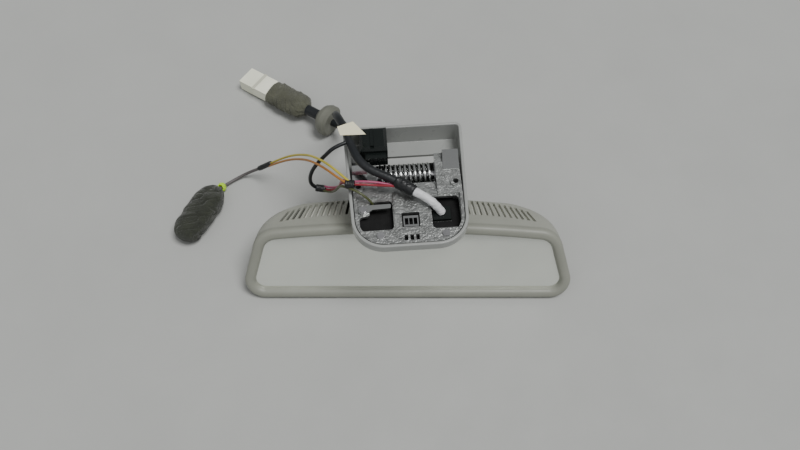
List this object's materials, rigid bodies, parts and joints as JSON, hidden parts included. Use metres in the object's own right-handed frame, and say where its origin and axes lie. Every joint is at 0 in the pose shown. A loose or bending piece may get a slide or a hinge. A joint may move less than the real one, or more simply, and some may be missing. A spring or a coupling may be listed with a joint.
{
  "type": "interior rearview mirror",
  "caption": "Interior rearview mirror with a domed vented housing on a ball arm, hinged in an open windscreen mount, with its taped wiring loom, connector and foam-wrapped end.",
  "frame": {"origin": "middle of the plane of the two fixing bosses on top of the mount, half way between their holes", "axes": "+Z out of the fixing plane, +Y to the straight far end of the mount, +X to the right as seen from in front of the glass"},
  "size_m": [0.3168, 0.2446, 0.101],
  "materials": {
    "head_plastic": "fine-grained moulded plastic, warm light grey",
    "cover_plastic": "moulded plastic, light grey",
    "inner_plastic": "black moulded plastic",
    "clear_glass": "clear float glass",
    "silvered_glass": "silvered back glass",
    "gel": "clear dimming gel",
    "pad": "black adhesive foam sheet",
    "die_cast": "satin die casting",
    "bright_steel": "bright plated steel",
    "steel": "plain steel",
    "nylon": "natural nylon",
    "plug_plastic": "black plug plastic with a green cast",
    "board_green": "solder resist",
    "chip_black": "moulded chip packages",
    "cable_black": "black cable jacket",
    "cable_grey": "dark grey lead jacket",
    "tape_black": "black wiring tape",
    "boot_white": "white bundle sleeve",
    "wire_red": "red wire",
    "wire_pink": "pink wire",
    "wire_olive": "olive wire",
    "wire_yellow": "yellow wire",
    "wire_orange": "orange wire",
    "tie_lime": "lime tie",
    "rubber_grey": "dark grey rubber",
    "foam_dark": "dark olive-grey foam sheet",
    "foam_grey": "grey-olive foam sheet",
    "connector_ivory": "ivory connector plastic",
    "label_cream": "blank cream label"
  },
  "bodies": {
    "mount": {"mount_cover": "cover_plastic", "floor_lining": "pad", "mount_frame": "die_cast", "frame_screws": "steel", "lever_pin": "steel", "retaining_clip_right": "bright_steel", "retaining_clip_left": "bright_steel", "middle_clip": "bright_steel", "harness_plug": "plug_plastic", "plug_latch": "plug_plastic", "bundle_plug": "plug_plastic", "bundle_boot": "boot_white", "lead_socket": "plug_plastic", "pivot_shaft": "steel", "shaft_clips": "steel", "spring_washers": "steel", "pivot_spring": "bright_steel", "main_loom": "cable_black", "branch_lead": "cable_black", "red_wire": "wire_red", "pink_wire": "wire_pink", "olive_wire": "wire_olive", "yellow_wire": "wire_yellow", "orange_wire": "wire_orange", "microphone_lead": "cable_grey", "loom_sleeve": "tape_black", "crossing_tape": "tape_black", "branch_tape": "tape_black", "microphone_tape": "tape_black", "loom_label": "label_cream", "loom_grommet": "rubber_grey", "cable_collar": "cable_black", "foam_wrap": "foam_grey", "loom_connector": "connector_ivory", "connector_lock": "connector_ivory", "foam_bag": "foam_dark", "bag_tie": "tie_lime"},
    "lever": {"lock_lever": "bright_steel"},
    "arm": {"arm": "die_cast", "arm_shroud": "inner_plastic", "ball_stud": "steel"},
    "liner": {"ball_liner": "nylon"},
    "cage": {"socket_cage": "steel"},
    "head": {"bezel": "head_plastic", "front_glass": "clear_glass", "dimming_gel": "gel", "rear_glass": "silvered_glass", "glass_pad": "pad", "housing": "head_plastic", "vent_baffle": "head_plastic", "carrier_plate": "inner_plastic", "housing_screws": "steel", "circuit_board": "board_green", "board_chips": "chip_black", "board_capacitors": "chip_black", "board_connector": "inner_plastic", "glare_sensor": "inner_plastic", "ambient_sensor": "inner_plastic", "microphone": "steel", "microphone_boot": "rubber_grey"}
  },
  "joints": [
    {"name": "lever_swing", "type": "hinge", "parent": "mount", "child": "lever", "pos_m": [-0.0335, -0.0195, -0.0025], "axis": [0, 0, 1], "range_deg": [-18, 0], "stiffness_Nm_per_rad": 0.02},
    {"name": "arm_fold", "type": "hinge", "parent": "mount", "child": "arm", "pos_m": [0, 0.016, -0.01423], "axis": [1, 0, 0], "range_deg": [-8, 10]},
    {"name": "head_swivel", "type": "hinge", "parent": "arm", "child": "liner", "pos_m": [0, -0.01085, -0.06074], "axis": [0, 0.5, 0.866], "range_deg": [-12, 12]},
    {"name": "head_roll", "type": "hinge", "parent": "liner", "child": "cage", "pos_m": [0, -0.01085, -0.06074], "axis": [-0.0642, -0.8636, 0.5], "range_deg": [-5, 5]},
    {"name": "head_tilt", "type": "hinge", "parent": "cage", "child": "head", "pos_m": [0, -0.01085, -0.06074], "axis": [0.9973, -0.0741, 0], "range_deg": [-12, 12]}
  ]
}
